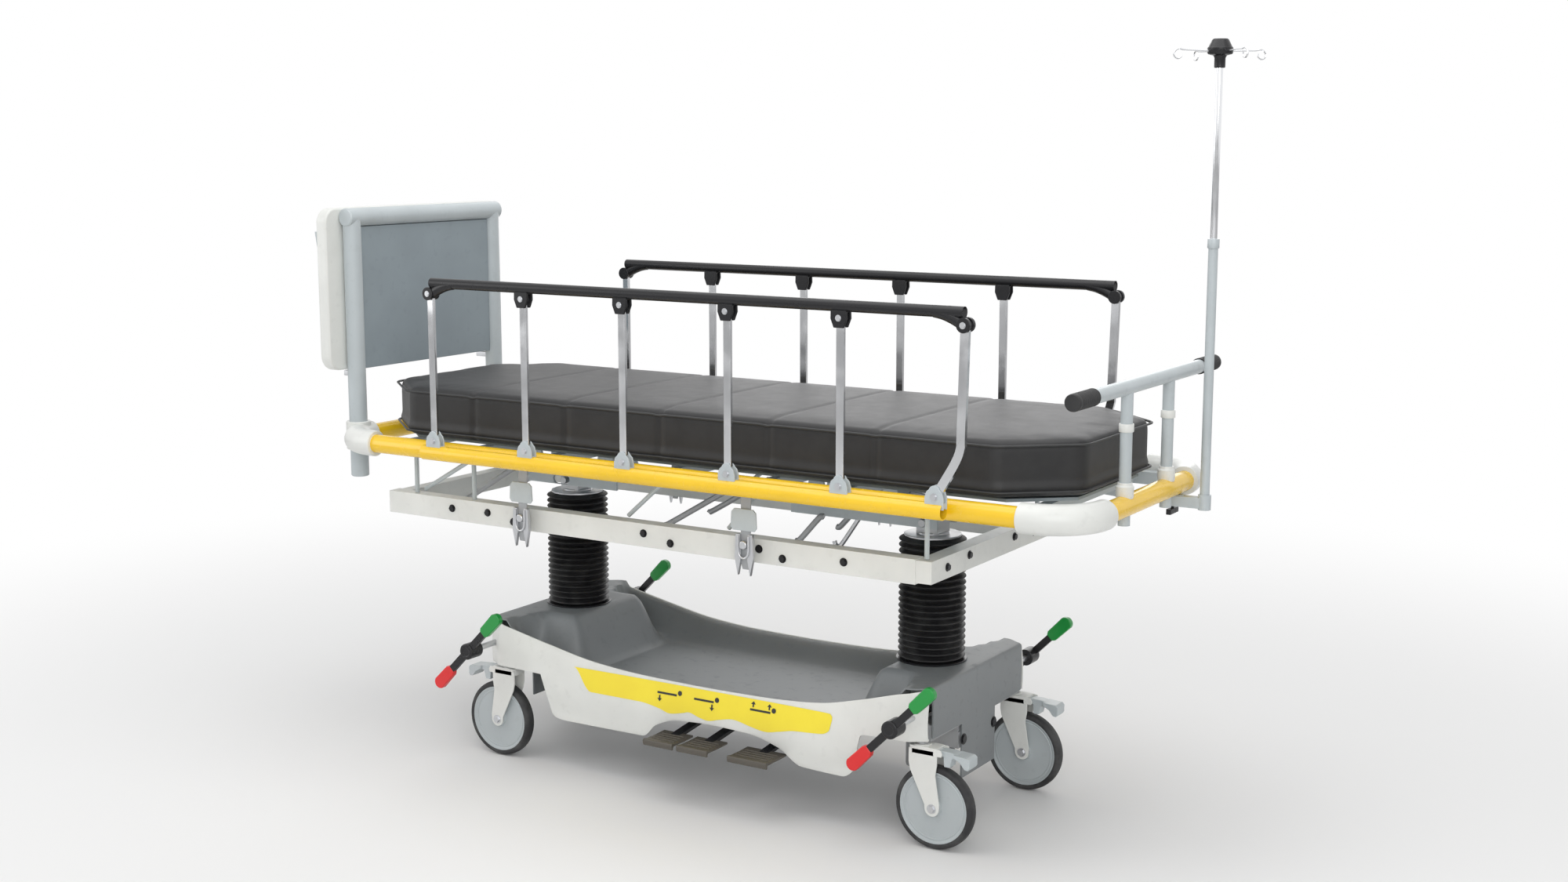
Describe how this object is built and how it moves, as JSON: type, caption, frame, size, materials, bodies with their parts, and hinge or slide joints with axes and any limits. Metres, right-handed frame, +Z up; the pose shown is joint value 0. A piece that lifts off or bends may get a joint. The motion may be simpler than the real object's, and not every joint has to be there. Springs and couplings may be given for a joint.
{
  "type": "patient transport cot",
  "caption": "Wheeled patient transport cot with two bellows-covered lifting columns, a padded top, folding side rails, a push handle, a drip pole and a footboard.",
  "frame": {"origin": "on the floor, in the cot's lengthwise middle plane, between the two pairs of casters", "axes": "+X towards the head end, which has the push handle and drip pole; -Y is the near side, with the foot pedals; +Z up"},
  "size_m": [2.4124, 0.8532, 1.84],
  "materials": {
    "painted_white": "satin powder coat",
    "moulded_white": "satin moulded shell",
    "yellow_tube": "gloss powder coat",
    "tub_grey": "moulded grey shell",
    "steel_grey": "satin grey",
    "light_grey": "satin light grey",
    "chrome": "polished",
    "black_plastic": "satin black",
    "rubber": "matt black rubber",
    "wheel": "light disc with dark tyre",
    "mattress": "dark grey coated cover",
    "pedal": "dark brown-grey",
    "panel_grey": "satin grey-blue"
  },
  "bodies": {
    "base": {"chassis": "steel_grey", "base_tub": "tub_grey", "skirt_near": "moulded_white", "skirt_far": "moulded_white"},
    "caster_head_near_fork": {"caster_head_near_fork": "painted_white"},
    "caster_head_near_wheel": {"caster_head_near_wheel": "wheel"},
    "caster_head_near_toe_brake": {"caster_head_near_toe_brake": "painted_white"},
    "caster_head_far_fork": {"caster_head_far_fork": "painted_white"},
    "caster_head_far_wheel": {"caster_head_far_wheel": "wheel"},
    "caster_head_far_toe_brake": {"caster_head_far_toe_brake": "painted_white"},
    "caster_foot_near_fork": {"caster_foot_near_fork": "painted_white"},
    "caster_foot_near_wheel": {"caster_foot_near_wheel": "wheel"},
    "caster_foot_near_toe_brake": {"caster_foot_near_toe_brake": "painted_white"},
    "caster_foot_far_fork": {"caster_foot_far_fork": "painted_white"},
    "caster_foot_far_wheel": {"caster_foot_far_wheel": "wheel"},
    "caster_foot_far_toe_brake": {"caster_foot_far_toe_brake": "painted_white"},
    "brake_bar_foot": {"brake_bar_foot": "black_plastic"},
    "brake_bar_head": {"brake_bar_head": "black_plastic"},
    "pedal_foot_down": {"pedal_foot_down": "pedal"},
    "pedal_head_down": {"pedal_head_down": "pedal"},
    "pedal_raise": {"pedal_raise": "pedal"},
    "column_head_middle": {"column_head_middle": "steel_grey", "bellows_head": "rubber"},
    "column_head_ram": {"column_head_ram": "steel_grey"},
    "column_foot_middle": {"column_foot_middle": "steel_grey", "bellows_foot": "rubber"},
    "column_foot_ram": {"column_foot_ram": "steel_grey"},
    "deck": {"subframe": "painted_white", "deck_frame": "steel_grey", "bumper_frame": "yellow_tube", "deck_panel": "panel_grey", "mattress_seat": "mattress", "rail_tube_near": "yellow_tube", "rail_tube_far": "yellow_tube", "push_handle": "light_grey", "drip_pole_arm": "light_grey", "drip_pole_lower": "light_grey", "footboard_frame": "light_grey", "footboard_panel": "panel_grey"},
    "backrest": {"backrest_panel": "panel_grey", "mattress_back": "mattress"},
    "backrest_stay": {"backrest_stay": "steel_grey"},
    "post_near_0": {"post_near_0": "chrome"},
    "post_near_1": {"post_near_1": "chrome"},
    "post_near_2": {"post_near_2": "chrome"},
    "post_near_3": {"post_near_3": "chrome"},
    "post_near_4": {"post_near_4": "chrome"},
    "post_near_5": {"post_near_5": "chrome"},
    "top_bar_near": {"top_bar_near": "black_plastic"},
    "post_far_0": {"post_far_0": "chrome"},
    "post_far_1": {"post_far_1": "chrome"},
    "post_far_2": {"post_far_2": "chrome"},
    "post_far_3": {"post_far_3": "chrome"},
    "post_far_4": {"post_far_4": "chrome"},
    "post_far_5": {"post_far_5": "chrome"},
    "top_bar_far": {"top_bar_far": "black_plastic"},
    "drip_pole_upper": {"drip_pole_upper": "light_grey"},
    "drip_pole_knob": {"drip_pole_knob": "light_grey"},
    "shelf": {"footboard_shelf": "moulded_white", "document_pocket": "moulded_white"}
  },
  "joints": [
    {"name": "caster_head_near_swivel", "type": "hinge", "parent": "base", "child": "caster_head_near_fork", "pos_m": [0.629, -0.2417, 0.2455], "axis": [0, 0, 1], "continuous": true},
    {"name": "caster_head_near_spin", "type": "hinge", "parent": "caster_head_near_fork", "child": "caster_head_near_wheel", "pos_m": [0.664, -0.2417, 0.1], "axis": [0, 1, 0], "continuous": true},
    {"name": "caster_head_near_brake_pedal", "type": "hinge", "parent": "caster_head_near_fork", "child": "caster_head_near_toe_brake", "pos_m": [0.679, -0.2417, 0.234], "axis": [0, 1, 0], "range_deg": [0, 10]},
    {"name": "caster_head_far_swivel", "type": "hinge", "parent": "base", "child": "caster_head_far_fork", "pos_m": [0.629, 0.2417, 0.2455], "axis": [0, 0, 1], "continuous": true},
    {"name": "caster_head_far_spin", "type": "hinge", "parent": "caster_head_far_fork", "child": "caster_head_far_wheel", "pos_m": [0.664, 0.2417, 0.1], "axis": [0, 1, 0], "continuous": true},
    {"name": "caster_head_far_brake_pedal", "type": "hinge", "parent": "caster_head_far_fork", "child": "caster_head_far_toe_brake", "pos_m": [0.679, 0.2417, 0.234], "axis": [0, 1, 0], "range_deg": [0, 10]},
    {"name": "caster_foot_near_swivel", "type": "hinge", "parent": "base", "child": "caster_foot_near_fork", "pos_m": [-0.595, -0.2417, 0.2455], "axis": [0, 0, 1], "continuous": true},
    {"name": "caster_foot_near_spin", "type": "hinge", "parent": "caster_foot_near_fork", "child": "caster_foot_near_wheel", "pos_m": [-0.63, -0.2417, 0.1], "axis": [0, 1, 0], "continuous": true},
    {"name": "caster_foot_near_brake_pedal", "type": "hinge", "parent": "caster_foot_near_fork", "child": "caster_foot_near_toe_brake", "pos_m": [-0.645, -0.2417, 0.234], "axis": [0, -1, 0], "range_deg": [0, 10]},
    {"name": "caster_foot_far_swivel", "type": "hinge", "parent": "base", "child": "caster_foot_far_fork", "pos_m": [-0.595, 0.2417, 0.2455], "axis": [0, 0, 1], "continuous": true},
    {"name": "caster_foot_far_spin", "type": "hinge", "parent": "caster_foot_far_fork", "child": "caster_foot_far_wheel", "pos_m": [-0.63, 0.2417, 0.1], "axis": [0, 1, 0], "continuous": true},
    {"name": "caster_foot_far_brake_pedal", "type": "hinge", "parent": "caster_foot_far_fork", "child": "caster_foot_far_toe_brake", "pos_m": [-0.645, 0.2417, 0.234], "axis": [0, -1, 0], "range_deg": [0, 10]},
    {"name": "brake_bar_foot_turn", "type": "hinge", "parent": "base", "child": "brake_bar_foot", "pos_m": [-0.63, 0, 0.31], "axis": [0, 1, 0], "range_deg": [-18, 18]},
    {"name": "brake_bar_head_turn", "type": "hinge", "parent": "base", "child": "brake_bar_head", "pos_m": [0.615, 0, 0.31], "axis": [0, 1, 0], "range_deg": [-18, 18]},
    {"name": "pedal_foot_down_press", "type": "hinge", "parent": "base", "child": "pedal_foot_down", "pos_m": [-0.044, -0.14, 0.185], "axis": [1, 0, 0], "range_deg": [0, 12], "stiffness_Nm_per_rad": 6, "springref_deg": -8.59},
    {"name": "pedal_head_down_press", "type": "hinge", "parent": "base", "child": "pedal_head_down", "pos_m": [0.057, -0.14, 0.185], "axis": [1, 0, 0], "range_deg": [0, 12], "stiffness_Nm_per_rad": 6, "springref_deg": -8.59},
    {"name": "pedal_raise_press", "type": "hinge", "parent": "base", "child": "pedal_raise", "pos_m": [0.216, -0.14, 0.185], "axis": [1, 0, 0], "range_deg": [0, 12], "stiffness_Nm_per_rad": 6, "springref_deg": -8.59},
    {"name": "lift", "type": "slide", "parent": "base", "child": "column_head_middle", "axis": [0, 0, 1], "range_m": [-0.14, 0.05], "deforming": ["bellows_head"]},
    {"name": "lift_foot_column", "type": "slide", "parent": "base", "child": "column_foot_middle", "axis": [0, 0, 1], "range_m": [-0.14, 0.05], "deforming": ["bellows_foot"]},
    {"name": "head_ram_slide", "type": "slide", "parent": "column_head_middle", "child": "column_head_ram", "axis": [0, 0, 1], "range_m": [-0.1151, 0.1151]},
    {"name": "foot_ram_slide", "type": "slide", "parent": "column_foot_middle", "child": "column_foot_ram", "axis": [0, 0, 1], "range_m": [-0.1151, 0.1151]},
    {"name": "tilt", "type": "hinge", "parent": "column_head_ram", "child": "deck", "pos_m": [0.522, 0, 0.718], "axis": [0, 1, 0], "range_deg": [-12, 12]},
    {"name": "backrest_lift", "type": "hinge", "parent": "deck", "child": "backrest", "pos_m": [0.255, 0, 0.842], "axis": [0, -1, 0], "range_deg": [0, 65]},
    {"name": "stay_fold", "type": "hinge", "parent": "backrest", "child": "backrest_stay", "pos_m": [0.55386, 0, 0.81585], "axis": [0, 1, 0], "range_deg": [0, 130]},
    {"name": "rail_near_fold", "type": "hinge", "parent": "deck", "child": "post_near_0", "pos_m": [-0.6873, -0.4085, 0.8611], "axis": [0, -1, 0], "range_deg": [0, 75]},
    {"name": "post_near_1_fold", "type": "hinge", "parent": "deck", "child": "post_near_1", "pos_m": [-0.3898, -0.4085, 0.8611], "axis": [0, -1, 0], "range_deg": [0, 75]},
    {"name": "post_near_2_fold", "type": "hinge", "parent": "deck", "child": "post_near_2", "pos_m": [-0.0923, -0.4085, 0.8611], "axis": [0, -1, 0], "range_deg": [0, 75]},
    {"name": "post_near_3_fold", "type": "hinge", "parent": "deck", "child": "post_near_3", "pos_m": [0.2052, -0.4085, 0.8611], "axis": [0, -1, 0], "range_deg": [0, 75]},
    {"name": "post_near_4_fold", "type": "hinge", "parent": "deck", "child": "post_near_4", "pos_m": [0.5027, -0.4085, 0.8611], "axis": [0, -1, 0], "range_deg": [0, 75]},
    {"name": "post_near_5_fold", "type": "hinge", "parent": "deck", "child": "post_near_5", "pos_m": [0.741, -0.4085, 0.8611], "axis": [0, -1, 0], "range_deg": [-30, 0]},
    {"name": "top_bar_near_level", "type": "hinge", "parent": "post_near_0", "child": "top_bar_near", "pos_m": [-0.6873, -0.4085, 1.2346], "axis": [0, 1, 0], "range_deg": [0, 75]},
    {"name": "rail_far_fold", "type": "hinge", "parent": "deck", "child": "post_far_0", "pos_m": [-0.6873, 0.4085, 0.8611], "axis": [0, -1, 0], "range_deg": [0, 75]},
    {"name": "post_far_1_fold", "type": "hinge", "parent": "deck", "child": "post_far_1", "pos_m": [-0.3898, 0.4085, 0.8611], "axis": [0, -1, 0], "range_deg": [0, 75]},
    {"name": "post_far_2_fold", "type": "hinge", "parent": "deck", "child": "post_far_2", "pos_m": [-0.0923, 0.4085, 0.8611], "axis": [0, -1, 0], "range_deg": [0, 75]},
    {"name": "post_far_3_fold", "type": "hinge", "parent": "deck", "child": "post_far_3", "pos_m": [0.2052, 0.4085, 0.8611], "axis": [0, -1, 0], "range_deg": [0, 75]},
    {"name": "post_far_4_fold", "type": "hinge", "parent": "deck", "child": "post_far_4", "pos_m": [0.5027, 0.4085, 0.8611], "axis": [0, -1, 0], "range_deg": [0, 75]},
    {"name": "post_far_5_fold", "type": "hinge", "parent": "deck", "child": "post_far_5", "pos_m": [0.741, 0.4085, 0.8611], "axis": [0, -1, 0], "range_deg": [-30, 0]},
    {"name": "top_bar_far_level", "type": "hinge", "parent": "post_far_0", "child": "top_bar_far", "pos_m": [-0.6873, 0.4085, 1.2346], "axis": [0, 1, 0], "range_deg": [0, 75]},
    {"name": "drip_pole_height", "type": "slide", "parent": "deck", "child": "drip_pole_upper", "axis": [0, 0, 1], "range_m": [-0.35, 0.1]},
    {"name": "drip_pole_knob_turn", "type": "hinge", "parent": "deck", "child": "drip_pole_knob", "pos_m": [1.048, 0.195, 0.7625], "axis": [0, 0, 1], "range_deg": [-90, 90]},
    {"name": "shelf_fold", "type": "hinge", "parent": "deck", "child": "shelf", "pos_m": [-1.12225, 0, 0.992], "axis": [0, -1, 0], "range_deg": [0, 90]}
  ],
  "couplings": [
    {"joint": "brake_bar_head_turn", "follows": "brake_bar_foot_turn", "ratio": 1},
    {"joint": "lift_foot_column", "follows": "lift", "ratio": 1},
    {"joint": "head_ram_slide", "follows": "tilt", "m_per_rad": -0.547},
    {"joint": "foot_ram_slide", "follows": "tilt", "m_per_rad": 0.547},
    {"joint": "stay_fold", "follows": "backrest_lift", "ratio": 2},
    {"joint": "post_near_1_fold", "follows": "rail_near_fold", "ratio": 1},
    {"joint": "post_near_2_fold", "follows": "rail_near_fold", "ratio": 1},
    {"joint": "post_near_3_fold", "follows": "rail_near_fold", "ratio": 1},
    {"joint": "post_near_4_fold", "follows": "rail_near_fold", "ratio": 1},
    {"joint": "post_near_5_fold", "follows": "rail_near_fold", "ratio": -0.4},
    {"joint": "top_bar_near_level", "follows": "rail_near_fold", "ratio": 1},
    {"joint": "post_far_1_fold", "follows": "rail_far_fold", "ratio": 1},
    {"joint": "post_far_2_fold", "follows": "rail_far_fold", "ratio": 1},
    {"joint": "post_far_3_fold", "follows": "rail_far_fold", "ratio": 1},
    {"joint": "post_far_4_fold", "follows": "rail_far_fold", "ratio": 1},
    {"joint": "post_far_5_fold", "follows": "rail_far_fold", "ratio": -0.4},
    {"joint": "top_bar_far_level", "follows": "rail_far_fold", "ratio": 1}
  ]
}
